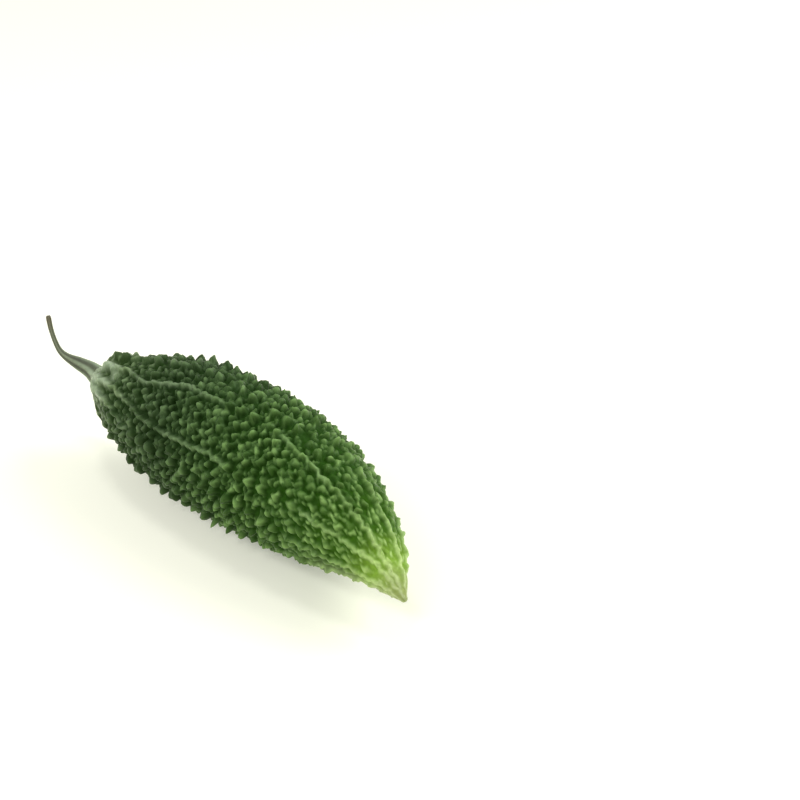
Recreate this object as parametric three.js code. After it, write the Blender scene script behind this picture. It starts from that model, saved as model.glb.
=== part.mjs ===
// A bitter gourd, picked, lying on its side.
// Millimetres, +Z up. The fruit runs along +X from its stalk to its blossom end, and rests on z = 0.
// The fruit is one solid: a bent spindle whose skin is raised into long ridges and close-packed warts.
// The stalk is a second solid, a thin ribbed cane that meets the fruit's neck face to face.

import * as THREE from "three";
import { ConvexHull } from "three/addons/math/ConvexHull.js";

// Size and lie of the fruit. A place along it is t, from 0 at the neck to 1 at the blossom end.
const fruitLength = 164;
const neckPosition = { x: -71.3, y: -8.2 };
const beltHeight = 25.6; // of the centre line above the surface, where the fruit is widest
const neckRise = 4.3;
const neckRiseUntil = 0.35;
const tipDrop = 5.9;
const tipDropFrom = 0.62;
const sideBow = 9;
const bowSharpness = 1.3;
const tipHook = 4;
const tipHookFrom = 0.82;
const nibLength = 1.2;

// Outline and relief of the fruit, as [t, millimetres].
const radiusStations = [
  [0, 3.4],
  [0.05, 10.1],
  [0.13, 16.8],
  [0.25, 22.2],
  [0.42, 24.2],
  [0.6, 22.3],
  [0.75, 17.2],
  [0.87, 10.4],
  [0.95, 4.9],
  [1, 1.2],
];
const ridgeStations = [
  [0, 0.3],
  [0.03, 0.8],
  [0.06, 3.2],
  [0.09, 2.9],
  [0.14, 1.9],
  [0.3, 1.7],
  [0.6, 1.7],
  [0.8, 1.9],
  [0.93, 1.3],
  [1, 0.1],
];
const wartStations = [
  [0, 0],
  [0.06, 0.3],
  [0.14, 1.3],
  [0.25, 1.8],
  [0.5, 1.9],
  [0.65, 1.7],
  [0.8, 1.2],
  [0.92, 0.5],
  [1, 0],
];

// Ridges run from the neck to the blossom end. Each has a path of [t, degrees round the fruit from its
// +Y side up], and breaks up into a row of larger warts for a stretch.
const ridges = [
  { path: [[0, 18], [1, 28]], broken: [0.2, 0.7] },
  { path: [[0, 52], [0.8, 69], [0.92, 64], [1, 64]], broken: [0.07, 0.76] },
  { path: [[0, 86], [0.83, 96], [0.9, 103], [1, 104]], broken: [0.1, 0.74] },
  {
    path: [[0, 113], [0.12, 113], [0.2, 121], [0.32, 106], [0.5, 108], [0.65, 106], [1, 114]],
    broken: [0.44, 0.6],
  },
  {
    path: [[0, 139], [0.12, 143], [0.24, 150], [0.39, 155], [0.52, 148], [0.78, 150], [1, 134]],
    broken: [0.54, 0.74],
  },
  { path: [[0, 155], [0.12, 155], [0.2, 167], [0.5, 176], [1, 192]], broken: [0.21, 0.72] },
  { path: [[0, 205], [1, 222]], broken: [0.04, 0.66] },
  { path: [[0, 250], [1, 256]], broken: [0.34, 0.76] },
  { path: [[0, 288], [1, 292]], broken: [0.28, 0.64] },
  { path: [[0, 335], [1, 340]], broken: [0.38, 0.72] },
];
const highCollar = { ridge: 2, growth: 0.5, at: 0.065, reach: 0.025 }; // more height by the neck
const ridgeWander = 0.035;
const wanderWaves = [
  { perFruit: 3.1, perRidge: 0.37 },
  { perFruit: 1.3, perRidge: 0.61 },
];
const ridgeTwist = 0.35;
const ridgeTwistFrom = 0.8;
const ridgeHalfWidth = 1.2;
const crestSpacing = 6;
const crestJitter = 1.8;
const brokenShare = 0.3; // of a ridge's height where it is broken
const joinedGrowth = [0.1, 0.6]; // least and most, as shares of the warts' height, on top of the ridge
const brokenGrowth = [1.1, 2.3];

// Warts fill the fields between the ridges.
const wartSpacing = 3.7;
const wartGrowth = [0.5, 1.35];
const wartJitter = 1.4;
const bareEnd = 0.02; // of the fruit's length at each end
const ridgeClearance = 2.4; // from a ridge's line to the middle of the nearest wart
const goldenAngle = Math.PI * (3 - Math.sqrt(5));
const facetedTopHeight = 0.9; // of the lowest wart that has a flat top
const topCorners = 3;
const topShare = 0.36; // of a wart's top in its foot

// Stalk.
const stalkGap = 0.3;
const stalkRoute = [
  [0, 0, 0],
  [4, 0, 0.1],
  [9, 1.1, 0.3],
  [14.5, 2.7, 0.8],
  [17.8, 3.5, 2.2],
  [19.6, 4, 5.4],
  [20.9, 4.4, 10],
  [21.5, 4.6, 15],
]; // back from the neck, to the -Y side and up
const stalkStations = [
  [0, 3.4],
  [0.12, 2.9],
  [0.22, 2.5],
  [0.32, 2.15],
  [0.42, 1.65],
  [0.52, 1.2],
  [0.62, 0.95],
  [0.78, 0.85],
  [1, 0.9],
];
const stalkRibs = 5;
const stalkRibDepth = 0.1;
const stalkRings = 26;
const stalkSides = 20;

const steps = 600; // in the running totals along the fruit
const nearby = 1e-3; // in t, for slopes
const up = new THREE.Vector3(0, 0, 1);

// The same number from 0 to 1 for the same item and purpose, on every run.
function chance(item, purpose) {
  const wave = Math.sin(item * 12.9898 + purpose * 78.233) * 43758.5453;
  return wave - Math.floor(wave);
}

// A smooth curve through [place, value] stations.
function through(stations, place) {
  const last = stations.length - 1;
  const slope = (i) => {
    const [before, after] = [stations[Math.max(i - 1, 0)], stations[Math.min(i + 1, last)]];
    return (after[1] - before[1]) / (after[0] - before[0]);
  };
  let i = 0;
  while (i < last - 1 && stations[i + 1][0] < place) i++;
  const [[a, low], [b, high]] = [stations[i], stations[i + 1]];
  const u = THREE.MathUtils.clamp((place - a) / (b - a), 0, 1);
  const rise = u * u * (3 - 2 * u);
  const bend = u * (1 - u) * (b - a);
  return low + (high - low) * rise + bend * ((1 - u) * slope(i) - u * slope(i + 1));
}

// How far t is past a start towards an end, squared, and 0 before the start.
function ease(t, from, to) {
  return Math.max(0, (t - from) / (to - from)) ** 2;
}

function centreLine(t) {
  const bow = sideBow * Math.max(0, 4 * t * (1 - t)) ** bowSharpness;
  return new THREE.Vector3(
    neckPosition.x + fruitLength * t,
    neckPosition.y + bow - tipHook * ease(t, tipHookFrom, 1),
    beltHeight + neckRise * ease(t, neckRiseUntil, 0) - tipDrop * ease(t, tipDropFrom, 1),
  );
}

// Directions across the centre line: forward to the blossom end, to the +Y side, and up.
function directionsAt(t) {
  const forward = centreLine(t + nearby).sub(centreLine(t - nearby)).normalize();
  const side = up.clone().cross(forward).normalize();
  return { forward, side, upward: forward.clone().cross(side) };
}

// A place on the smooth skin, before ridges and warts, and the direction straight out of it.
function skinAt(t, angle) {
  const { forward, side, upward } = directionsAt(t);
  const out = side.multiplyScalar(Math.cos(angle)).addScaledVector(upward, Math.sin(angle));
  const point = centreLine(t).addScaledVector(out, through(radiusStations, t));
  const taper = through(radiusStations, t + nearby) - through(radiusStations, t - nearby);
  const normal = out.addScaledVector(forward, -taper / (2 * nearby * fruitLength)).normalize();
  return { t, angle, point, normal };
}

// Running totals along the fruit: length over the skin, warts that fit on it, and length over radius.
const totals = [{ length: 0, warts: 0, turns: 0 }];
for (let i = 0; i < steps; i++) {
  const radius = through(radiusStations, (i + 0.5) / steps);
  const taper = through(radiusStations, (i + 1) / steps) - through(radiusStations, i / steps);
  const length = Math.hypot(fruitLength / steps, taper);
  const areaOfWart = wartSpacing ** 2 * Math.sin(Math.PI / 3);
  totals.push({
    length: totals[i].length + length,
    warts: totals[i].warts + (2 * Math.PI * radius * length) / areaOfWart,
    turns: totals[i].turns + length / radius,
  });
}

function totalAt(name, t) {
  const at = THREE.MathUtils.clamp(t, 0, 1) * steps;
  const i = Math.min(Math.floor(at), steps - 1);
  return THREE.MathUtils.lerp(totals[i][name], totals[i + 1][name], at - i);
}

// The t at which a running total reaches an amount.
function placeWhere(name, amount) {
  let i = 0;
  while (i < steps - 1 && totals[i + 1][name] < amount) i++;
  const share = (amount - totals[i][name]) / (totals[i + 1][name] - totals[i][name]);
  return THREE.MathUtils.clamp((i + share) / steps, 0, 1);
}

function ridgeAngle(ridge, t) {
  let angle = THREE.MathUtils.degToRad(through(ridges[ridge].path, t));
  angle -= ridgeTwist * ease(t, ridgeTwistFrom, 1);
  for (const { perFruit, perRidge } of wanderWaves) {
    angle += ridgeWander * Math.sin(2 * Math.PI * (perFruit * t + perRidge * ridge));
  }
  return angle;
}

// The ridge whose line is nearest to a place, and how far off it is over the skin.
function nearestRidge({ t, angle }) {
  const turns = ridges.map((_, ridge) => {
    return 2 * Math.abs(Math.sin((angle - ridgeAngle(ridge, t)) / 2));
  });
  const turn = Math.min(...turns);
  return { ridge: turns.indexOf(turn), distance: turn * through(radiusStations, t) };
}

function isBroken(ridge, t) {
  const [from, to] = ridges[ridge].broken;
  return t > from && t < to;
}

function crestHeight(ridge, t) {
  const { growth, at, reach } = highCollar;
  const extra = ridge === highCollar.ridge ? growth * Math.exp(-(((t - at) / reach) ** 2)) : 0;
  return through(ridgeStations, t) * (1 + extra);
}

function ridgeHeight(place) {
  const { ridge, distance } = nearestRidge(place);
  const share = isBroken(ridge, place.t) ? brokenShare : 1;
  return share * crestHeight(ridge, place.t) * Math.exp(-((distance / ridgeHalfWidth) ** 2));
}

// Warts in a row along each ridge's crest.
function crestWarts() {
  const warts = [];
  const count = Math.floor(totalAt("length", 1) / crestSpacing);
  for (let ridge = 0; ridge < ridges.length; ridge++) {
    const start = ((ridge * goldenAngle) % 1) * crestSpacing;
    for (let i = 0; i < count; i++) {
      const item = ridge * count + i;
      const drift = crestJitter * (chance(item, 1) - 0.5);
      const t = placeWhere("length", start + i * crestSpacing + drift);
      if (t <= bareEnd || t >= 1 - bareEnd) continue;
      const joined = !isBroken(ridge, t);
      const [least, most] = joined ? joinedGrowth : brokenGrowth;
      const growth = through(wartStations, t) * THREE.MathUtils.lerp(least, most, chance(item, 2));
      const height = growth + (joined ? crestHeight(ridge, t) : 0);
      warts.push({ ...skinAt(t, ridgeAngle(ridge, t)), height, ridge, joined });
    }
  }
  return warts;
}

// Warts turned by the golden angle from one to the next, each a little out of place.
function fieldWarts() {
  const warts = [];
  const count = Math.floor(totalAt("warts", 1));
  for (let i = 0; i < count; i++) {
    const place = placeWhere("warts", i + 0.5);
    const t = place + (wartJitter * (chance(i, 3) - 0.5)) / fruitLength;
    const drift = (wartJitter * (chance(i, 4) - 0.5)) / through(radiusStations, place);
    const angle = i * goldenAngle + drift;
    if (t <= bareEnd || t >= 1 - bareEnd) continue;
    if (nearestRidge({ t, angle }).distance < ridgeClearance) continue;
    const growth = THREE.MathUtils.lerp(...wartGrowth, chance(i, 5));
    warts.push({ ...skinAt(t, angle), height: through(wartStations, t) * growth });
  }
  return warts;
}

// A ring round the flat neck, a smaller one round the blossom end, and the middle of each.
function ends() {
  const places = [];
  for (let ridge = 0; ridge < ridges.length; ridge++) {
    const angle = ridgeAngle(ridge, 0);
    const lastTurn = ridge === ridges.length - 1 ? 2 * Math.PI : 0;
    const angleBetween = (angle + ridgeAngle((ridge + 1) % ridges.length, 0) + lastTurn) / 2;
    places.push({ ...skinAt(0, angle), height: 0, ridge, joined: true });
    places.push({ ...skinAt(0, angleBetween), height: 0 });
    places.push({ ...skinAt(1, ridgeAngle(ridge, 1)), height: 0, ridge, joined: true });
  }
  for (const t of [0, 1]) {
    const { forward } = directionsAt(t);
    const point = centreLine(t).addScaledVector(forward, t * nibLength);
    places.push({ t, angle: 0, point, normal: forward, height: 0, isPole: true });
  }
  return places;
}

// A place on a unit sphere for each place on the skin, by a map that keeps shapes, so that the
// sphere's convex hull joins each place to its true neighbours on the skin.
function onSphere({ t, angle, isPole }) {
  if (isPole) return new THREE.Vector3(0, 0, t < 0.5 ? -1 : 1);
  const along = totalAt("turns", t) - totalAt("turns", 1) / 2;
  const latitude = 2 * Math.atan(Math.exp(along)) - Math.PI / 2;
  return new THREE.Vector3(
    Math.cos(latitude) * Math.cos(angle),
    Math.cos(latitude) * Math.sin(angle),
    Math.sin(latitude),
  );
}

function mean(vectors) {
  const sum = vectors.reduce((total, vector) => total.add(vector), new THREE.Vector3());
  return sum.divideScalar(vectors.length);
}

// The dip in the middle of three neighbours on the skin.
function dipBetween(corners) {
  const turn = new THREE.Vector2();
  for (const { angle, isPole } of corners) {
    if (!isPole) turn.add(new THREE.Vector2(Math.cos(angle), Math.sin(angle)));
  }
  const dip = {
    t: corners.reduce((total, corner) => total + corner.t, 0) / corners.length,
    angle: turn.angle(),
    point: mean(corners.map((corner) => corner.point)),
    normal: mean(corners.map((corner) => corner.normal)).normalize(),
  };
  return { ...dip, height: ridgeHeight(dip) };
}

// A place moved out to its height. What would sink into the surface is flattened on it.
function raised({ point, normal, height }) {
  const moved = point.clone().addScaledVector(normal, height);
  moved.z = Math.max(moved.z, 0);
  return moved;
}

// The edges that leave a vertex of the hull, in turn.
function edgesFrom(first) {
  const edges = [];
  let edge = first;
  do {
    edges.push(edge);
    edge = edge.prev.twin;
  } while (edge !== first);
  return edges;
}

// The fruit's mesh has a vertex or a small flat top on each wart and a vertex in the dip between each
// three neighbours. Neighbours in an unbroken ridge are joined along its crest.
function fruitGeometry() {
  const places = [...crestWarts(), ...fieldWarts(), ...ends()];
  const hull = new ConvexHull().setFromPoints(places.map(onSphere));
  const order = new Map(hull.vertices.map((vertex, i) => [vertex, i]));
  const points = places.map(raised);
  const triangles = [];
  const dips = new Map();
  const firstEdges = [];
  for (const face of hull.faces) {
    const edges = [face.edge, face.edge.next, face.edge.prev];
    const dip = dipBetween(edges.map((edge) => places[order.get(edge.head())]));
    dips.set(face, { ...dip, index: points.push(raised(dip)) - 1 });
    for (const edge of edges) firstEdges[order.get(edge.tail())] = edge;
  }
  for (let a = 0; a < places.length; a++) {
    const edges = edgesFrom(firstEdges[a]);
    const isJoined = (b) => places[a].joined && places[b].joined && places[a].ridge === places[b].ridge;
    const neighbours = edges.map((edge) => order.get(edge.head()));
    if (places[a].height >= facetedTopHeight && !neighbours.some(isJoined)) {
      addFlatTop(places[a], edges.map((edge) => dips.get(edge.face)), points, triangles);
      continue;
    }
    edges.forEach((edge, i) => {
      const right = dips.get(edge.twin.face).index;
      const left = dips.get(edge.face).index;
      triangles.push(a, right, isJoined(neighbours[i]) ? neighbours[i] : left);
    });
  }
  return geometryOf(points, triangles);
}

// A wart with a flat top of three corners, and sides that run down to the ring of dips round it.
function addFlatTop(wart, ring, points, triangles) {
  const groupOf = (i) => Math.floor((topCorners * (i % ring.length)) / ring.length);
  const first = points.length;
  for (let corner = 0; corner < topCorners; corner++) {
    const group = ring.filter((_, i) => groupOf(i) === corner).map((dip) => dip.point);
    const point = wart.point.clone().lerp(mean(group), topShare);
    points.push(raised({ ...wart, point }));
  }
  triangles.push(first, first + 1, first + 2);
  ring.forEach((dip, i) => {
    const next = ring[(i + 1) % ring.length].index;
    const [here, there] = [first + groupOf(i), first + groupOf(i + 1)];
    triangles.push(here, dip.index, next);
    if (here !== there) triangles.push(here, next, there);
  });
}

function geometryOf(points, triangles) {
  const geometry = new THREE.BufferGeometry().setFromPoints(points);
  geometry.setIndex(triangles);
  geometry.computeVertexNormals();
  return geometry;
}

// The stalk leaves the neck in line with the fruit, then turns up at its knee.
function stalkGeometry() {
  const back = directionsAt(0).forward.negate();
  const root = centreLine(0).addScaledVector(back, stalkGap);
  const route = new THREE.CatmullRomCurve3(
    stalkRoute.map(([run, lean, rise]) => {
      return new THREE.Vector3(0, -lean, rise).addScaledVector(back, run).add(root);
    }),
  );
  const points = [];
  const triangles = [];
  for (let ring = 0; ring <= stalkRings; ring++) {
    const u = ring / stalkRings;
    const ahead = route.getTangentAt(u);
    const side = ahead.clone().cross(up).normalize();
    const upward = side.clone().cross(ahead);
    for (let i = 0; i < stalkSides; i++) {
      const angle = (2 * Math.PI * i) / stalkSides;
      const radius = through(stalkStations, u) * (1 + stalkRibDepth * Math.cos(stalkRibs * angle));
      const out = side.clone().multiplyScalar(Math.cos(angle)).addScaledVector(upward, Math.sin(angle));
      points.push(route.getPointAt(u).addScaledVector(out, radius));
      if (ring === stalkRings) continue;
      const here = ring * stalkSides + i;
      const next = ring * stalkSides + ((i + 1) % stalkSides);
      triangles.push(here, here + stalkSides, next, next, here + stalkSides, next + stalkSides);
    }
  }
  const rootCentre = points.push(route.getPointAt(0)) - 1;
  const endCentre = points.push(route.getPointAt(1)) - 1;
  const lastRing = stalkRings * stalkSides;
  for (let i = 0; i < stalkSides; i++) {
    const next = (i + 1) % stalkSides;
    triangles.push(rootCentre, i, next, endCentre, lastRing + next, lastRing + i);
  }
  return geometryOf(points, triangles);
}

function named(name, geometry, material) {
  const mesh = new THREE.Mesh(geometry, material);
  mesh.name = name;
  return mesh;
}

const skin = new THREE.MeshStandardMaterial({ color: 0x3f6a2a, roughness: 0.38, metalness: 0 });
const cane = new THREE.MeshStandardMaterial({ color: 0x7d8a68, roughness: 0.75, metalness: 0 });

const gourd = new THREE.Group();
gourd.name = "bitter_gourd";
gourd.add(named("fruit", fruitGeometry(), skin));
gourd.add(named("stalk", stalkGeometry(), cane));

export default gourd;
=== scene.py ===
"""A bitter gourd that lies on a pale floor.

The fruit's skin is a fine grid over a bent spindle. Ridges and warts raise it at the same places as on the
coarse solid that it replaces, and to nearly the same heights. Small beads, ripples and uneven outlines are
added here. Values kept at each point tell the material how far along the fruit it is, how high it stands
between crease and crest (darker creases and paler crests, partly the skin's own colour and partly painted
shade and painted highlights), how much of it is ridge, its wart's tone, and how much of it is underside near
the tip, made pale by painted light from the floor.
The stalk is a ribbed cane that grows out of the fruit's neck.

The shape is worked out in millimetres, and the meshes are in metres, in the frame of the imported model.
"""

import math

import bpy
import numpy as np
from mathutils import Matrix, Vector


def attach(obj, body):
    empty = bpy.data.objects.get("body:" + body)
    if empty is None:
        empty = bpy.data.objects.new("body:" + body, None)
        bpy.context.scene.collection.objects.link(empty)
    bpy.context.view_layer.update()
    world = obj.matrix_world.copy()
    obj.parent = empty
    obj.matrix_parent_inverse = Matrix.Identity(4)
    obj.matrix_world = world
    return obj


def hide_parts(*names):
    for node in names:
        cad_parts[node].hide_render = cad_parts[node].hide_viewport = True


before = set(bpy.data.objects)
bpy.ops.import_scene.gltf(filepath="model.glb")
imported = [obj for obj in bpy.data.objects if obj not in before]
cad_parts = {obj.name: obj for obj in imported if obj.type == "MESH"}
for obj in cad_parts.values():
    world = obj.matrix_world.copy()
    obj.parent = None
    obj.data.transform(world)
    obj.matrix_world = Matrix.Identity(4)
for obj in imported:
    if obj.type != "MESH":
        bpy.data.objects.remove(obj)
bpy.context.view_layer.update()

MM = 0.001
FULL_TURN = 2 * math.pi
GOLDEN_ANGLE = math.pi * (3 - math.sqrt(5))

# Size and lie of the fruit. A place along it is t, from 0 at the neck to 1 at the blossom end.
FRUIT_LENGTH = 164
NECK_X, NECK_Y = -71.3, -8.2
BELT_HEIGHT = 25.6  # of the centre line above the floor, where the fruit is widest
NECK_RISE, NECK_RISE_UNTIL = 4.3, 0.35
TIP_DROP, TIP_DROP_FROM = 5.9, 0.62
SIDE_BOW, BOW_SHARPNESS = 9, 1.3
TIP_HOOK, TIP_HOOK_FROM = 4, 0.82
NIB_LENGTH = 1.2

# Outline and relief of the fruit, as (t, millimetres).
RADIUS = [
    (0, 3.4), (0.05, 10.1), (0.13, 16.8), (0.25, 22.2), (0.42, 24.2),
    (0.6, 22.3), (0.75, 17.2), (0.87, 10.4), (0.95, 4.9), (1, 1.2),
]
RIDGE_HEIGHT = [
    (0, 0.3), (0.03, 0.8), (0.06, 3.2), (0.09, 2.9), (0.14, 1.9),
    (0.3, 1.7), (0.6, 1.7), (0.8, 1.9), (0.93, 1.3), (1, 0.1),
]
WART_HEIGHT = [
    (0, 0), (0.06, 0.3), (0.14, 1.3), (0.25, 1.8), (0.5, 1.9), (0.65, 1.7), (0.8, 1.2), (0.92, 0.5), (1, 0),
]

# Ridges, as a path of (t, degrees round the fruit from its +Y side up), and the start and end of the
# stretch where the ridge breaks up into a row of larger warts.
RIDGES = [
    ([(0, 18), (1, 28)], 0.2, 0.7),
    ([(0, 52), (0.8, 69), (0.92, 64), (1, 64)], 0.07, 0.76),
    ([(0, 86), (0.83, 96), (0.9, 103), (1, 104)], 0.1, 0.74),
    ([(0, 113), (0.12, 113), (0.2, 121), (0.32, 106), (0.5, 108), (0.65, 106), (1, 114)], 0.44, 0.6),
    ([(0, 139), (0.12, 143), (0.24, 150), (0.39, 155), (0.52, 148), (0.78, 150), (1, 134)], 0.54, 0.74),
    ([(0, 155), (0.12, 155), (0.2, 167), (0.5, 176), (1, 192)], 0.21, 0.72),
    ([(0, 205), (1, 222)], 0.04, 0.66),
    ([(0, 250), (1, 256)], 0.34, 0.76),
    ([(0, 288), (1, 292)], 0.28, 0.64),
    ([(0, 335), (1, 340)], 0.38, 0.72),
]
# One ridge stands higher by the neck, and isn't as pale there as the others.
HIGH_COLLAR_RIDGE = 2
HIGH_COLLAR_GROWTH = 0.5
HIGH_COLLAR_AT, HIGH_COLLAR_REACH = 0.065, 0.025
HIGH_COLLAR_PALENESS = 0.3
# Pale flares where the skin runs up to the stalk: t, degrees round the fruit, and reach in millimetres.
FLARES = [(0.1, 123, 3.0), (0.03, 165, 2.6)]
RIDGE_WANDER = 0.035
WANDER_WAVES = [(3.1, 0.37), (1.3, 0.61)]  # waves per fruit, and shift per ridge
RIDGE_TWIST, RIDGE_TWIST_FROM = 0.35, 0.8
RIDGE_HALF_WIDTH = 1.0
COLLAR_HALF_WIDTH = 3.2  # of a ridge where it leaves the neck
COLLAR_NARROWS_UNTIL = 0.15
COLLAR_SHRINKS_FROM, COLLAR_UNTIL = 0.05, 0.13  # where a ridge stops being full and smooth
WIDEST_SHARE = 0.4  # of the room that each ridge has round the fruit
CREST_SPACING = 6
CREST_JITTER = 1.8
BROKEN_SHARE = 0.3  # of a ridge's height where it is broken
JOINED_GROWTH = (0.1, 0.6)  # least and most, as shares of the warts' height, on top of the ridge
BROKEN_GROWTH = (1.0, 2.0)
BREAK_LENGTH = 0.03  # in t, over which a ridge sinks where it breaks
RIDGE_LINE_SHARE = 0.5  # of its crest's height between the swellings on it

# Small ripples along a ridge, sideways in millimetres and up as a share of its height.
RIPPLES = [(11, 0.53), (31, 0.37), (53, 0.71)]  # ripples per fruit, and shift per ridge
RIPPLE_SIDEWAYS = 0.25
RIPPLE_UP = 0.17
RIPPLE_UP_SHIFT = 0.5  # in ridges, so that a ridge doesn't rise and swerve in step
RIDGE_TONE, RIDGE_TONE_CHANGE = 0.35, 0.2  # of the skin along a ridge, from 0 to 1

# Warts between the ridges, and small beads in the gaps between warts.
WART_SPACING = 3.7
WART_GROWTH = (0.5, 1.35)
WART_JITTER = 1.4
BARE_END = 0.02  # in t, without warts
RIDGE_CLEARANCE = 2.4  # from a ridge's line to the middle of the nearest wart
WART_RADIUS = (1.6, 2.15)  # least and most
CREST_WART_RADIUS = (2.0, 2.6)
SWELLING_RADIUS = (1.1, 1.4)
SWELLING_STRETCH = 1.8
BEAD_SPACING = 2.1
BEAD_CLEARANCE = 1.75  # from the middle of a wart
BEAD_RIDGE_CLEARANCE = 1.3
BEAD_GROWTH = (0.3, 0.6)
BEAD_RADIUS = (1, 1.35)
BEAD_PALENESS = 0.35  # beside a wart's, up to the stretch where the tip's warts grow longer
WART_STRETCH = (0.74, 1.08)  # along the fruit
TIP_STRETCH = 1.0  # more of it towards the tip
TIP_STRETCH_FROM, TIP_STRETCH_TO = 0.6, 0.86
TIP_NARROWING = [(0, 1), (0.55, 1), (0.85, 0.78), (1, 0.6)]  # of warts, as (t, share)
DOME_POWERS = (0.75, 1.4)  # the lower, the blunter the wart
BLEND_POWER = 7  # the higher, the sharper the crease where two warts meet
CREASE_SHARE = 0.35  # depth of a crease below the smooth skin, as a share of the warts' height
GAP_TONE = 0.5  # where no wart reaches

# Unevenness of the warts: (wavelength, sideways shift), and how much it adds to the height.
CRUMPLES = [(3.9, 0.34), (2.4, 0.2)]
CRUMPLE_SKEW = 0.6  # of its waves across the axes, so that they don't line up with the grid
CRUMPLE_UP = 0.22

# The patch of the grid that a wart can reach, with room for the shifts of its outline.
ROOM_AHEAD, ROOM_ROUND = 1.5, 1.3
RADIUS_MARGIN, LEAST_RADIUS = 2, 1

# Seeded draws: steps of a fast wave, and the number of each draw by what it is for. A spiral wart or bead
# takes four in a row, from the first one given here.
WAVE_PER_ITEM, WAVE_PER_DRAW, WAVE_SIZE = 12.9898, 78.233, 43758.5453
CREST_PLACE_DRAW, CREST_GROWTH_DRAW, CREST_RADIUS_DRAW = 1, 2, 6
FIRST_WART_DRAW, FIRST_BEAD_DRAW = 3, 13
STRETCH_DRAW, TONE_DRAW, POWER_DRAW = 7, 8, 9

# Fineness of the fruit's grid.
ROWS = 384
NIB_ROWS = 4
NIB_OPENING = 0.5  # in rows, round the end that the last face closes
COLUMNS = 250
STEPS = 600  # in the running totals along the fruit
NEARBY = 1e-3  # in t, for slopes

# Stalk: (back from the neck, to the -Y side, up), and (place along it from 0 to 1, radius).
STALK_ROOT_DEPTH = 1.2  # inside the fruit's neck
STALK_ROUTE = [
    (-STALK_ROOT_DEPTH, 0, 0), (0.3, 0, 0), (4.3, 0, 0.1), (9.3, 1.1, 0.3), (14.8, 2.7, 0.8),
    (18.1, 3.5, 2.2), (19.9, 4, 5.4), (21.2, 4.4, 10), (21.8, 4.6, 15),
]
STALK_RADIUS = [
    (0, 4), (0.04, 3.6), (0.15, 2.95), (0.25, 2.5), (0.34, 2.15), (0.43, 1.65), (0.53, 1.2), (0.63, 0.93),
    (0.78, 0.82), (0.97, 0.88), (1, 0.8),
]
STALK_RIBS = 5
STALK_RIB_DEPTH = 0.13
STALK_RIB_POWER = 0.7  # the lower, the squarer the ribs
STALK_RINGS = 150
STALK_SIDES = 60

# Colours of the skin from the neck to the blossom end, as (t, colour on a screen). The creases are darker
# and the crests paler partly as the skin's own colour and partly as painted shade in the creases and painted
# highlights on the crests.
CREASE_COLOURS_AND_SHADE = [
    (0.0, (108, 120, 88)), (0.03, (102, 118, 84)), (0.06, (48, 66, 26)), (0.1, (26, 48, 8)),
    (0.3, (16, 38, 3)), (0.55, (25, 56, 3)), (0.75, (34, 70, 3)), (0.86, (52, 90, 7)),
    (0.94, (122, 158, 52)), (1.0, (148, 154, 98)),
]
# The paler crest colours hold painted highlights as well as the skin's own paler green.
CREST_COLOURS_AND_HIGHLIGHT = [
    (0.0, (164, 178, 146)), (0.045, (148, 166, 130)), (0.075, (100, 122, 76)), (0.14, (98, 118, 80)),
    (0.3, (86, 108, 70)), (0.55, (110, 143, 79)), (0.75, (121, 154, 85)), (0.86, (127, 160, 84)),
    (0.94, (173, 202, 115)), (1.0, (172, 179, 134)),
]
RIDGE_COLOURS = [
    (0.0, (158, 172, 144)), (0.1, (148, 164, 134)), (0.13, (116, 136, 92)), (0.17, (132, 150, 118)),
    (0.4, (98, 120, 80)), (0.6, (106, 136, 82)), (0.75, (127, 157, 97)), (0.86, (149, 179, 107)),
    (0.94, (179, 205, 124)), (1.0, (172, 179, 134)),
]
COLOUR_DRIFT = 0.1  # in t, between the patches that are furthest ahead and furthest behind in colour
# The crest colour, with its painted highlights, covers the tops of warts by this power; ridges take their
# own pale colour by the same power.
CREST_HIGHLIGHT_AND_RIDGE_POWER = 2.2  # the higher, the narrower the pale tops of warts and ridges
DARKEST_TONE, TONE_RANGE = 0.28, 1.1  # share of the crest's colour on the darkest wart, and more on others

# A ridge shows its own colour in patches of a noise, all along the collar, and mostly near the tip.
# It fades in or out between two values of the noise, and between two places along the collar and the tip.
PATCH_EDGE = (0.42, 0.58)
COLLAR_PATCH_END = (0.1, 0.14)
TIP_PATCH_START = (0.76, 0.9)
TIP_PATCH_SHARE = 0.8

# The underside near the tip, made pale by painted light from the floor: where along the fruit it starts and
# is full, and how far down the skin has to face.
BELLY_LIGHT_START = (0.7, 0.92)
BELLY_LIGHT_SLOPE = (0.1, 0.9)
BELLY_LIGHT_COLOUR, BELLY_LIGHT_SHARE = (170, 178, 136), 0.7

# Fine speckles: the noise's values at their edge, and what they multiply the colour by on either side.
SPECKLE_EDGE, SPECKLE_SHADES = (0.3, 0.7), (0.82, 1.14)

CREASE_ROUGHNESS, CREST_ROUGHNESS = 0.8, 0.3

# Colours of the stalk from the neck to the cut end, in its grooves and on its ribs. The darker grooves are
# partly its own colour and partly painted shade.
GROOVE_COLOURS_AND_SHADE = [
    (0.0, (88, 98, 70)), (0.1, (74, 82, 58)), (0.3, (68, 74, 54)), (0.8, (84, 88, 66)), (1.0, (86, 80, 58)),
]
RIB_COLOURS = [
    (0.0, (150, 166, 136)), (0.12, (136, 152, 122)), (0.35, (118, 130, 102)), (0.8, (118, 124, 98)),
    (1.0, (108, 102, 80)),
]
RIB_POWER = 1.5  # the higher, the narrower the pale tops of ribs
STREAK_SHADES = (0.7, 1.25)  # what streaks multiply the colour by

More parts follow.
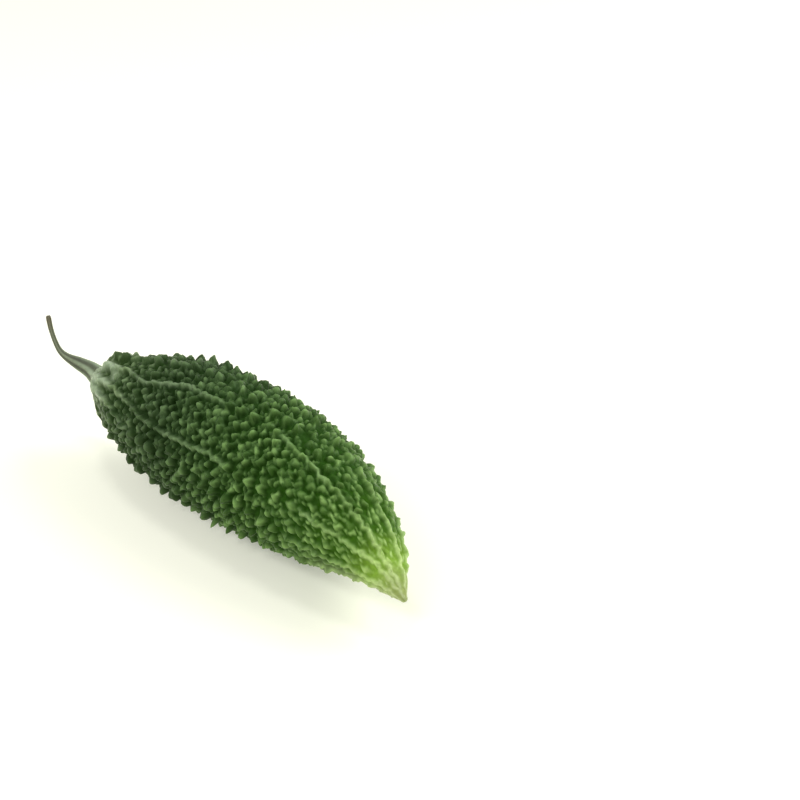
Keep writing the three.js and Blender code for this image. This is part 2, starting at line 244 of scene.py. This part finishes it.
# Noises, as (waves per metre, layers of detail, roughness), and what a noise is on average.
DRIFT_NOISE = (38.0, 2.0, 0.5)
PATCH_NOISE = (110.0, 3.0, 0.5)
SPECKLE_NOISE = (900.0, 4.0, 0.6)
GLOSS_NOISE = (420.0, 3.0, 0.5)
LUMP_NOISE = (520.0, 2.0, 0.5)
PORE_NOISE = (2600.0, 3.0, 0.5)
STREAK_NOISE = (700.0, 4.0, 0.65)
FIBRE_NOISE = (1800.0, 3.0, 0.5)
NOISE_MIDDLE = 0.5

# Sockets of a Mix node that mixes colours.
MIX_FACTOR, MIX_A, MIX_B, MIX_RESULT = 0, 6, 7, 2

# Bumps too small for the mesh, as (strength, millimetres).
PORE_BUMP = (0.12, 0.3)
LUMP_BUMP = (0.25, 0.6)
FIBRE_BUMP = (0.35, 0.4)

# Camera, from the photograph's point of view.
CAMERA_AZIMUTH = math.radians(46)
CAMERA_ELEVATION = math.radians(31)
CAMERA_DISTANCE = 0.641
CAMERA_AIM = Vector((0.0379, 0.0391, 0.0471))
CAMERA_LENS = 85

# The room, in metres. Lamps are (name, place, size, watts), and aim at the origin.
FLOOR_SIZE = 6
FLOOR_GLOW = 0.33
ROOM_LIGHT = 0.5
LAMPS = [
    ("key", Vector((0.4, 0.65, 0.68)), 0.6, 6.8),
    ("top", Vector((-0.15, 0.0, 1.0)), 0.2, 1.7),
    ("left", Vector((-0.5, -0.6, 0.6)), 0.2, 2.8),
    ("front", Vector((0.35, -0.6, 0.75)), 0.2, 1.4),
]


def chance(item, draw):
    """The same number from 0 to 1 for the same item and draw, on every run."""
    wave = math.sin(item * WAVE_PER_ITEM + draw * WAVE_PER_DRAW) * WAVE_SIZE
    return wave - math.floor(wave)


def jitter(size, item, draw):
    """A shift of up to half the size, either way."""
    return size * (chance(item, draw) - 0.5)


def between(limits, share):
    return limits[0] + (limits[1] - limits[0]) * share


def smoothstep(start, end, value):
    share = np.clip((value - start) / (end - start), 0, 1)
    return share * share * (3 - 2 * share)


def ease(value, start, end):
    """How far value is past start towards end, squared, and 0 before start."""
    return np.maximum(0, (value - start) / (end - start)) ** 2


def through(stations, place):
    """A smooth curve through (place, value) stations."""
    places, values = np.array(stations, float).T
    last = len(places) - 1
    before = np.maximum(np.arange(last + 1) - 1, 0)
    after = np.minimum(np.arange(last + 1) + 1, last)
    slopes = (values[after] - values[before]) / (places[after] - places[before])
    i = np.clip(np.searchsorted(places, place) - 1, 0, last - 1)
    span = places[i + 1] - places[i]
    u = np.clip((place - places[i]) / span, 0, 1)
    rise = u * u * (3 - 2 * u)
    bend = u * (1 - u) * span
    return values[i] + (values[i + 1] - values[i]) * rise + bend * ((1 - u) * slopes[i] - u * slopes[i + 1])


def unit(vectors):
    return vectors / np.linalg.norm(vectors, axis=-1, keepdims=True)


def centre_line(t):
    t = np.asarray(t, float)
    bow = SIDE_BOW * np.maximum(0, 4 * t * (1 - t)) ** BOW_SHARPNESS
    x = NECK_X + FRUIT_LENGTH * t
    y = NECK_Y + bow - TIP_HOOK * ease(t, TIP_HOOK_FROM, 1)
    z = BELT_HEIGHT + NECK_RISE * ease(t, NECK_RISE_UNTIL, 0) - TIP_DROP * ease(t, TIP_DROP_FROM, 1)
    return np.stack([x, y, z], axis=-1)


def directions_at(t):
    """Forward along the fruit, to its +Y side, and up, at each t."""
    t = np.asarray(t, float)
    forward = unit(centre_line(t + NEARBY) - centre_line(t - NEARBY))
    side = unit(np.cross([0, 0, 1], forward))
    return forward, side, np.cross(forward, side)


def skin_at(t, angle):
    """Points of the smooth skin, before ridges and warts, and the directions straight out of it."""
    t, angle = np.broadcast_arrays(np.asarray(t, float), np.asarray(angle, float))
    forward, side, upward = directions_at(t)
    out = side * np.cos(angle)[..., None] + upward * np.sin(angle)[..., None]
    points = centre_line(t) + out * through(RADIUS, t)[..., None]
    taper = (through(RADIUS, t + NEARBY) - through(RADIUS, t - NEARBY)) / (2 * NEARBY * FRUIT_LENGTH)
    return points, unit(out - forward * taper[..., None])


def running_totals(spacing):
    """At STEPS + 1 places along the fruit: the t, the length over the skin and the warts that fit so far."""
    middles = (np.arange(STEPS) + 0.5) / STEPS
    edges = np.arange(STEPS + 1) / STEPS
    lengths = np.hypot(FRUIT_LENGTH / STEPS, np.diff(through(RADIUS, edges)))
    area_of_wart = spacing**2 * math.sin(math.pi / 3)
    warts = FULL_TURN * through(RADIUS, middles) * lengths / area_of_wart
    return edges, np.append(0, np.cumsum(lengths)), np.append(0, np.cumsum(warts))


TOTAL_T, TOTAL_LENGTH, _ = running_totals(WART_SPACING)


def ridge_angle(ridge, t):
    angle = np.radians(through(RIDGES[ridge][0], t)) - RIDGE_TWIST * ease(t, RIDGE_TWIST_FROM, 1)
    for per_fruit, per_ridge in WANDER_WAVES:
        angle = angle + RIDGE_WANDER * np.sin(FULL_TURN * (per_fruit * t + per_ridge * ridge))
    return angle


def ridge_distance(ridge, t, angle):
    """Distance over the skin from a place to a ridge's line."""
    return 2 * np.abs(np.sin((angle - ridge_angle(ridge, t)) / 2)) * through(RADIUS, t)


def ripple(ridge, t):
    return sum(np.sin(FULL_TURN * (per_fruit * t + per_ridge * ridge)) for per_fruit, per_ridge in RIPPLES)


def is_broken(ridge, t):
    _, start, end = RIDGES[ridge]
    return start < t < end


def crest_height(ridge, t):
    height = through(RIDGE_HEIGHT, t)
    if ridge != HIGH_COLLAR_RIDGE:
        return height
    return height * (1 + HIGH_COLLAR_GROWTH * np.exp(-(((t - HIGH_COLLAR_AT) / HIGH_COLLAR_REACH) ** 2)))


def crest_places():
    """(ridge, t, height, item) for each wart in a row along a ridge's crest."""
    places = []
    count = int(TOTAL_LENGTH[-1] // CREST_SPACING)
    for ridge in range(len(RIDGES)):
        start = (ridge * GOLDEN_ANGLE) % 1 * CREST_SPACING
        for i in range(count):
            item = ridge * count + i
            length = start + i * CREST_SPACING + jitter(CREST_JITTER, item, CREST_PLACE_DRAW)
            t = float(np.interp(length, TOTAL_LENGTH, TOTAL_T))
            if not BARE_END < t < 1 - BARE_END:
                continue
            broken = is_broken(ridge, t)
            growth = between(BROKEN_GROWTH if broken else JOINED_GROWTH, chance(item, CREST_GROWTH_DRAW))
            base = 0 if broken else float(crest_height(ridge, t))
            places.append((ridge, t, base + growth * float(through(WART_HEIGHT, t)), item))
    return places


def wart(t, angle, height, radius, item, stretch=1.0, paleness=1.0):
    """A dome on the skin. It is longer along the fruit than across, most of all towards the tip."""
    point, normal = skin_at(t, angle)
    ahead = directions_at(t)[0]
    ahead = unit(ahead - normal * (ahead @ normal))
    radius *= float(through(TIP_NARROWING, t))
    stretch *= between(WART_STRETCH, chance(item, STRETCH_DRAW))
    stretch += TIP_STRETCH * float(smoothstep(TIP_STRETCH_FROM, TIP_STRETCH_TO, t))
    return {
        "t": t, "angle": angle, "point": point, "ahead": ahead, "height": height,
        "across": radius, "along": radius * stretch,
        "power": between(DOME_POWERS, chance(item, POWER_DRAW)),
        "tone": paleness * chance(item, TONE_DRAW),
    }


def crest_warts():
    """Large warts where a ridge is broken, and slight swellings where it isn't."""
    warts = []
    for ridge, t, height, item in crest_places():
        angle = float(ridge_angle(ridge, t))
        broken = is_broken(ridge, t)
        radii, stretch = (CREST_WART_RADIUS, 1.0) if broken else (SWELLING_RADIUS, SWELLING_STRETCH)
        radius = between(radii, chance(item, CREST_RADIUS_DRAW))
        warts.append(wart(t, angle, height, radius, item, stretch))
    return warts


def spiral_warts(spacing, growth, radii, clearance, first_draw, paleness=1.0):
    """Warts turned by the golden angle from one to the next, clear of the ridges."""
    along_draw, round_draw, growth_draw, radius_draw = range(first_draw, first_draw + 4)
    warts = []
    edges, _, fitted = running_totals(spacing)
    for i in range(int(fitted[-1])):
        place = float(np.interp(i + 0.5, fitted, edges))
        t = place + jitter(WART_JITTER, i, along_draw) / FRUIT_LENGTH
        angle = i * GOLDEN_ANGLE + jitter(WART_JITTER, i, round_draw) / float(through(RADIUS, place))
        if not BARE_END < t < 1 - BARE_END:
            continue
        if min(float(ridge_distance(ridge, t, angle)) for ridge in range(len(RIDGES))) < clearance:
            continue
        height = float(through(WART_HEIGHT, t)) * between(growth, chance(i, growth_draw))
        radius = between(radii, chance(i, radius_draw))
        shown = between((paleness, 1), float(smoothstep(TIP_STRETCH_FROM, TIP_STRETCH_TO, t)))
        warts.append(wart(t, angle, height, radius, i, paleness=shown))
    return warts


def all_warts():
    """Every wart, and the beads that fall clear of the middles of warts."""
    warts = crest_warts()
    warts += spiral_warts(WART_SPACING, WART_GROWTH, WART_RADIUS, RIDGE_CLEARANCE, FIRST_WART_DRAW)
    beads = spiral_warts(
        BEAD_SPACING, BEAD_GROWTH, BEAD_RADIUS, BEAD_RIDGE_CLEARANCE, FIRST_BEAD_DRAW, BEAD_PALENESS,
    )
    middles = np.array([bump["point"] for bump in warts])
    for bead in beads:
        if np.linalg.norm(middles - bead["point"], axis=1).min() > BEAD_CLEARANCE:
            warts.append(bead)
    return warts


def ridge_relief(t, angle):
    """Height of the nearest ridge at each place, how much of the place is unbroken ridge, and its tone."""
    height = np.zeros_like(t)
    amount = np.zeros_like(t)
    tone = np.zeros_like(t)
    crests = crest_places()
    narrowed = smoothstep(0, COLLAR_NARROWS_UNTIL, t)
    half_width = RIDGE_HALF_WIDTH + (COLLAR_HALF_WIDTH - RIDGE_HALF_WIDTH) * (1 - narrowed)
    half_width = np.minimum(half_width, WIDEST_SHARE * FULL_TURN * through(RADIUS, t) / len(RIDGES))
    past_collar = smoothstep(COLLAR_SHRINKS_FROM, COLLAR_UNTIL, t)
    for ridge, (_, start, end) in enumerate(RIDGES):
        joined = [(place, top) for r, place, top, _ in crests if r == ridge and not is_broken(r, place)]
        places, tops = np.array([RIDGE_HEIGHT[0]] + joined + [RIDGE_HEIGHT[-1]]).T
        broken = smoothstep(start - BREAK_LENGTH / 2, start + BREAK_LENGTH / 2, t)
        broken = broken * (1 - smoothstep(end - BREAK_LENGTH / 2, end + BREAK_LENGTH / 2, t))
        shaken = angle + RIPPLE_SIDEWAYS * ripple(ridge, t) / through(RADIUS, t)
        profile = np.exp(-((ridge_distance(ridge, t, shaken) / half_width) ** 2))
        rise = ripple(ridge + RIPPLE_UP_SHIFT, t)
        line = 1 - (1 - RIDGE_LINE_SHARE) * past_collar
        line = line * np.interp(t, places, tops) * (1 + RIPPLE_UP * past_collar * rise)
        crest = line * (1 - broken) + BROKEN_SHARE * crest_height(ridge, t) * broken
        height = np.maximum(height, crest * profile)
        shown = (1 - broken) * profile * (HIGH_COLLAR_PALENESS if ridge == HIGH_COLLAR_RIDGE else 1)
        nearest = shown > amount
        amount = np.where(nearest, shown, amount)
        tone = np.where(nearest, RIDGE_TONE + RIDGE_TONE_CHANGE * rise, tone)
    for place, degrees, reach in FLARES:
        ahead = (t - place) * FRUIT_LENGTH
        beside = 2 * np.sin((angle - math.radians(degrees)) / 2) * through(RADIUS, t)
        amount = np.maximum(amount, np.exp(-(ahead**2 + beside**2) / reach**2))
    return height, amount, tone


def crumple(points):
    """A small shift of each place, which makes the outlines of warts uneven."""
    shift = np.zeros_like(points)
    for wavelength, size in CRUMPLES:
        waves = (points + CRUMPLE_SKEW * np.roll(points, 1, axis=-1)) * FULL_TURN / wavelength
        shift += size * np.sin(np.roll(waves, 1, axis=-1))
    return shift


def relief(t, angle, points):
    """Over a grid: the skin's height, its share from crease to crest, how much is ridge, and its tone."""
    ridge_height, ridge_amount, ridge_tone = ridge_relief(t, angle)
    powers = ridge_height**BLEND_POWER
    crest_share = np.zeros_like(t)
    tone = np.full_like(t, GAP_TONE)
    row_t, column_angle = t[:, 0], angle[0]
    shift = crumple(points)
    shifted = points + shift
    for bump in all_warts():
        reach = bump["along"] / FRUIT_LENGTH * ROOM_AHEAD
        rows = np.flatnonzero(np.abs(row_t - bump["t"]) < reach)
        radius = max(float(through(RADIUS, bump["t"])) - RADIUS_MARGIN, LEAST_RADIUS)
        turn = np.abs((column_angle - bump["angle"] + math.pi) % FULL_TURN - math.pi)
        columns = np.flatnonzero(turn < ROOM_ROUND * bump["across"] / radius)
        part = np.ix_(rows, columns)
        away = shifted[part] - bump["point"]
        ahead = away @ bump["ahead"]
        beside = (away**2).sum(-1) - ahead**2
        inside = np.clip(1 - (ahead / bump["along"]) ** 2 - beside / bump["across"] ** 2, 0, 1)
        dome = bump["height"] * inside ** bump["power"]
        powers[part] += dome**BLEND_POWER
        higher = inside > crest_share[part]
        crest_share[part] = np.where(higher, inside, crest_share[part])
        tone[part] = np.where(higher, bump["tone"], tone[part])
    tone = np.where(ridge_amount > crest_share, ridge_tone, tone)
    crest_share = np.maximum(crest_share, ridge_amount)
    height = powers ** (1 / BLEND_POWER) * (1 + CRUMPLE_UP * shift.sum(axis=-1))
    height -= CREASE_SHARE * through(WART_HEIGHT, t) * (1 - crest_share)
    return height, crest_share, ridge_amount, tone


def grid_faces(rows, columns):
    """Faces of a tube of rings, counter-clockwise from outside when the angle turns from side to up."""
    here = np.arange(columns)
    after = (here + 1) % columns
    faces = []
    for row in range(rows - 1):
        low, high = row * columns, (row + 1) * columns
        faces += np.stack([low + here, low + after, high + after, high + here], axis=1).tolist()
    return faces


def make_piece(name, points, faces, values, material, node):
    """A smooth-shaded mesh from points in millimetres, with a value of each name at every point."""
    mesh = bpy.data.meshes.new(name)
    mesh.from_pydata((points * MM).tolist(), [], faces)
    for label, numbers in values.items():
        mesh.attributes.new(label, "FLOAT", "POINT").data.foreach_set("value", numbers.astype(np.float32))
    mesh.shade_smooth()
    mesh.materials.append(material)
    piece = bpy.data.objects.new(name, mesh)
    bpy.context.scene.collection.objects.link(piece)
    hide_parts(node)
    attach(piece, "root")
    return piece


def add_nib(points):
    """The skin's rings, and more that close the last one over a short rounded end."""
    forward = directions_at(1.0)[0]
    last = points[-1]
    middle = last.mean(axis=0)
    rings = [points]
    for step in range(1, NIB_ROWS + 1):
        lean = step / (NIB_ROWS + NIB_OPENING) * math.pi / 2
        ring = middle + (last - middle) * math.cos(lean) + forward * NIB_LENGTH * math.sin(lean)
        rings.append(ring[None])
    return np.concatenate(rings)


def spread_over_nib(values):
    """Values at the skin's points, with those of the last ring on every ring of the nib."""
    return np.concatenate([values, np.repeat(values[-1:], NIB_ROWS, axis=0)]).ravel()


def make_fruit(material):
    """The skin, from a flat face on the neck to the nib, with the values that its material reads."""
    lengths = np.linspace(0, TOTAL_LENGTH[-1], ROWS)
    row_t = np.interp(lengths, TOTAL_LENGTH, TOTAL_T)
    turns = np.arange(COLUMNS) * FULL_TURN / COLUMNS
    t, angle = np.meshgrid(row_t, turns, indexing="ij")
    points, normals = skin_at(t, angle)
    height, crest, ridge, tone = relief(t, angle, points)
    # Painted light from the floor: the skin that faces down near the tip is made paler.
    painted_belly_light = smoothstep(*BELLY_LIGHT_SLOPE, -normals[..., 2]) * smoothstep(*BELLY_LIGHT_START, t)
    points = add_nib(points + normals * height[..., None])
    points[..., 2] = np.maximum(points[..., 2], 0)  # the warts beneath are flattened on the floor
    rows = ROWS + NIB_ROWS
    faces = grid_faces(rows, COLUMNS)
    faces.append(list(range(COLUMNS))[::-1])
    faces.append(list(range((rows - 1) * COLUMNS, rows * COLUMNS)))
    shares = {"along": t, "crest": crest, "ridge": ridge, "tone": tone, "painted_belly_light": painted_belly_light}
    values = {label: spread_over_nib(numbers) for label, numbers in shares.items()}
    return make_piece("fruit_skin", points.reshape(-1, 3), faces, values, material, "fruit")


def make_stalk(material):
    """Rings along a smooth route that leaves the neck straight and turns up at the knee."""
    back = -directions_at(0.0)[0]
    neck = centre_line(0.0)
    stops = np.array([neck + back * run + [0, -lean, rise] for run, lean, rise in STALK_ROUTE])
    lengths = np.append(0, np.cumsum(np.linalg.norm(np.diff(stops, axis=0), axis=1)))
    share = np.linspace(0, 1, STALK_RINGS)
    at = share * lengths[-1]
    centres = np.stack([through(list(zip(lengths, stops[:, axis])), at) for axis in range(3)], axis=-1)
    ahead = unit(np.gradient(centres, axis=0))
    side = unit(np.cross(ahead, [0, 0, 1]))
    upward = np.cross(side, ahead)
    angle = np.arange(STALK_SIDES) * FULL_TURN / STALK_SIDES
    rib = np.cos(STALK_RIBS * angle)[None, :] * np.ones((STALK_RINGS, 1))
    rib = np.sign(rib) * np.abs(rib) ** STALK_RIB_POWER
    radius = through(STALK_RADIUS, share)[:, None] * (1 + STALK_RIB_DEPTH * rib)
    around = side[:, None] * np.cos(angle)[None, :, None] + upward[:, None] * np.sin(angle)[None, :, None]
    points = centres[:, None] + around * radius[..., None]
    faces = [face[::-1] for face in grid_faces(STALK_RINGS, STALK_SIDES)]
    faces.append(list(range(STALK_SIDES)))
    faces.append(list(range((STALK_RINGS - 1) * STALK_SIDES, STALK_RINGS * STALK_SIDES))[::-1])
    values = {"along": np.repeat(share, STALK_SIDES), "rib": rib.ravel() * 0.5 + 0.5}
    return make_piece("stalk_cane", points.reshape(-1, 3), faces, values, material, "stalk")


def linear(red, green, blue):
    """A colour given as it looks on a screen, 0 to 255, in the numbers that a shader works in."""
    channels = [value / 255 for value in (red, green, blue)]
    return tuple(c / 12.92 if c <= 0.04045 else ((c + 0.055) / 1.055) ** 2.4 for c in channels) + (1.0,)


def new_material(name):
    material = bpy.data.materials.new(name)
    material.use_nodes = True
    tree = material.node_tree
    return material, tree, tree.nodes["Principled BSDF"]


def set_inputs(tree, node, inputs):
    """Inputs that are sockets are linked, and the others are set on the node's own sockets."""
    for key, value in inputs.items():
        if isinstance(value, bpy.types.NodeSocket):
            tree.links.new(value, node.inputs[key])
        else:
            node.inputs[key].default_value = value


def add(tree, kind, inputs, **settings):
    """A new shader node."""
    node = tree.nodes.new(kind)
    for name, value in settings.items():
        setattr(node, name, value)
    set_inputs(tree, node, inputs)
    return node


def math_node(tree, operation, *values, clamp=False):
    inputs = dict(enumerate(values))
    return add(tree, "ShaderNodeMath", inputs, operation=operation, use_clamp=clamp).outputs[0]


def map_range(tree, value, limits, outcomes):
    """The first outcome up to the first limit, the second past the second limit, and a slope between."""
    inputs = {
        "Value": value,
        "From Min": limits[0], "From Max": limits[1],
        "To Min": outcomes[0], "To Max": outcomes[1],
    }
    return add(tree, "ShaderNodeMapRange", inputs).outputs[0]


def mix_colour(tree, factor, a, b, blend="MIX"):
    inputs = {MIX_FACTOR: factor, MIX_A: a, MIX_B: b}
    node = add(tree, "ShaderNodeMix", inputs, data_type="RGBA", blend_type=blend)
    return node.outputs[MIX_RESULT]


def attribute(tree, name):
    return add(tree, "ShaderNodeAttribute", {}, attribute_name=name).outputs["Fac"]


def ramp(tree, factor, stops):
    node = add(tree, "ShaderNodeValToRGB", {0: factor})
    elements = node.color_ramp.elements
    while len(elements) < len(stops):
        elements.new(1.0)
    for element, (position, colour) in zip(elements, stops):
        element.position = position
        element.color = linear(*colour)
    return node.outputs[0]


def noise(tree, scale, detail, roughness):
    place = add(tree, "ShaderNodeTexCoord", {}).outputs["Object"]
    inputs = {"Vector": place, "Scale": scale, "Detail": detail, "Roughness": roughness}
    return add(tree, "ShaderNodeTexNoise", inputs).outputs[0]


def rough_normal(tree, height, strength, distance, under=None):
    """The direction that a surface faces where it is uneven, on top of the unevenness under it if any."""
    inputs = {"Height": height, "Strength": strength, "Distance": distance * MM}
    if under is not None:
        inputs["Normal"] = under
    return add(tree, "ShaderNodeBump", inputs).outputs[0]


def ridge_patches(tree, along):
    """Where a ridge shows its own colour: in patches, all along the collar, and mostly near the tip."""
    patches = map_range(tree, noise(tree, *PATCH_NOISE), PATCH_EDGE, (0.0, 1.0))
    collar = map_range(tree, along, COLLAR_PATCH_END, (1.0, 0.0))
    tip = map_range(tree, along, TIP_PATCH_START, (0.0, TIP_PATCH_SHARE))
    return math_node(tree, "MAXIMUM", math_node(tree, "MAXIMUM", patches, collar), tip)


def skin_colour(tree, along, crest):
    """Darker in the creases and paler on the warts, partly the skin's own colour and partly painted shade
    and painted highlights; pale on the ridges, yellow-green at the tip, and pale beneath it by painted light
    from the floor.
    """
    drift = math_node(
        tree, "MULTIPLY_ADD", noise(tree, *DRIFT_NOISE), COLOUR_DRIFT, -COLOUR_DRIFT * NOISE_MIDDLE,
    )
    place = math_node(tree, "ADD", along, drift, clamp=True)
    crease_colour_and_shade = ramp(tree, place, CREASE_COLOURS_AND_SHADE)
    crest_colour_and_highlight = ramp(tree, place, CREST_COLOURS_AND_HIGHLIGHT)
    ridge_colour = ramp(tree, place, RIDGE_COLOURS)
    lightness = math_node(tree, "MULTIPLY_ADD", attribute(tree, "tone"), TONE_RANGE, DARKEST_TONE)
    # Painted shade in the creases and painted highlights on the tops of warts, mixed with the skin's own
    # darker and paler green, more on some warts than on others.
    top = math_node(tree, "POWER", crest, CREST_HIGHLIGHT_AND_RIDGE_POWER)
    colour = mix_colour(
        tree, math_node(tree, "MULTIPLY", top, lightness, clamp=True), crease_colour_and_shade, crest_colour_and_highlight,
    )
    ridge_top = math_node(tree, "POWER", attribute(tree, "ridge"), CREST_HIGHLIGHT_AND_RIDGE_POWER)
    ridge_share = math_node(tree, "MULTIPLY", ridge_top, ridge_patches(tree, along))
    colour = mix_colour(tree, ridge_share, colour, ridge_colour)
    # Painted light from the floor, paling the underside near the tip.
    painted_belly_light_share = math_node(tree, "MULTIPLY", attribute(tree, "painted_belly_light"), BELLY_LIGHT_SHARE)
    colour = mix_colour(tree, painted_belly_light_share, colour, linear(*BELLY_LIGHT_COLOUR))
    speckle = map_range(tree, noise(tree, *SPECKLE_NOISE), SPECKLE_EDGE, SPECKLE_SHADES)
    return mix_colour(tree, 1.0, colour, speckle, "MULTIPLY")


def skin_material():
    """Waxy green skin, glossier on the tops of warts and ridges than in the creases."""
    material, tree, shader = new_material("gourd_skin")
    crest = attribute(tree, "crest")
    roughness = map_range(tree, crest, (0.0, 1.0), (CREASE_ROUGHNESS, CREST_ROUGHNESS))
    unevenness = math_node(tree, "ADD", noise(tree, *GLOSS_NOISE), 1 - NOISE_MIDDLE)
    pores = rough_normal(tree, noise(tree, *PORE_NOISE), *PORE_BUMP)
    set_inputs(tree, shader, {
        "Base Color": skin_colour(tree, attribute(tree, "along"), crest),
        "Roughness": math_node(tree, "MULTIPLY", roughness, unevenness),
        "Normal": rough_normal(tree, noise(tree, *LUMP_NOISE), *LUMP_BUMP, pores),
        "Specular IOR Level": 0.25,
        "Specular Tint": linear(205, 255, 180),
        "Subsurface Weight": 0.03,
        "Subsurface Radius": (0.6, 1.0, 0.3),
        "Subsurface Scale": 2 * MM,
    })
    return material


def stalk_material():
    """Dull grey-green cane with darker grooves, partly own colour and partly painted shade, browner where it
    was cut.
    """
    material, tree, shader = new_material("gourd_stalk")
    along = attribute(tree, "along")
    rib = math_node(tree, "POWER", attribute(tree, "rib"), RIB_POWER)
    # Painted shade: the grooves are darker than the ribs, partly as the stalk's own colour.
    colour = mix_colour(tree, rib, ramp(tree, along, GROOVE_COLOURS_AND_SHADE), ramp(tree, along, RIB_COLOURS))
    streaks = map_range(tree, noise(tree, *STREAK_NOISE), (0.0, 1.0), STREAK_SHADES)
    set_inputs(tree, shader, {
        "Base Color": mix_colour(tree, 1.0, colour, streaks, "MULTIPLY"),
        "Roughness": 0.6,
        "Normal": rough_normal(tree, noise(tree, *FIBRE_NOISE), *FIBRE_BUMP),
    })
    return material


def add_floor():
    """A pale floor that glows a little, because the photograph's shadows are very light."""
    bpy.ops.mesh.primitive_plane_add(size=FLOOR_SIZE)
    floor = bpy.context.object
    floor.name = "floor"
    material, tree, shader = new_material("pale_floor")
    set_inputs(tree, shader, {
        "Base Color": linear(224, 224, 208),
        "Roughness": 0.8,
        "Specular IOR Level": 0.1,
        "Emission Color": linear(255, 255, 242),
        "Emission Strength": FLOOR_GLOW,
    })
    floor.data.materials.append(material)


def add_lights():
    """A white room with one large lamp and three small ones."""
    world = bpy.data.worlds.new("studio")
    bpy.context.scene.world = world
    world.use_nodes = True
    background = world.node_tree.nodes["Background"]
    background.inputs["Color"].default_value = (1.0, 1.0, 1.0, 1.0)
    background.inputs["Strength"].default_value = ROOM_LIGHT
    for name, place, size, power in LAMPS:
        light = bpy.data.lights.new(name, "AREA")
        light.size = size
        light.energy = power
        lamp = bpy.data.objects.new(name, light)
        lamp.location = place
        lamp.rotation_euler = (-place).to_track_quat("-Z", "Y").to_euler()
        bpy.context.scene.collection.objects.link(lamp)


def add_camera():
    """Looks along CAMERA_AZIMUTH, where 0 is along +Y, from CAMERA_ELEVATION above the floor."""
    level = math.cos(CAMERA_ELEVATION)
    ahead = Vector((
        -math.sin(CAMERA_AZIMUTH) * level, math.cos(CAMERA_AZIMUTH) * level, -math.sin(CAMERA_ELEVATION),
    ))
    right = Vector((math.cos(CAMERA_AZIMUTH), math.sin(CAMERA_AZIMUTH), 0))
    data = bpy.data.cameras.new("camera")
    data.lens = CAMERA_LENS
    camera = bpy.data.objects.new("camera", data)
    turn = Matrix((right, right.cross(ahead), -ahead)).transposed().to_4x4()
    camera.matrix_world = Matrix.Translation(CAMERA_AIM - ahead * CAMERA_DISTANCE) @ turn
    bpy.context.scene.collection.objects.link(camera)
    bpy.context.scene.camera = camera


make_fruit(skin_material())
make_stalk(stalk_material())
add_floor()
add_lights()
add_camera()
bpy.context.scene.view_settings.view_transform = "Standard"
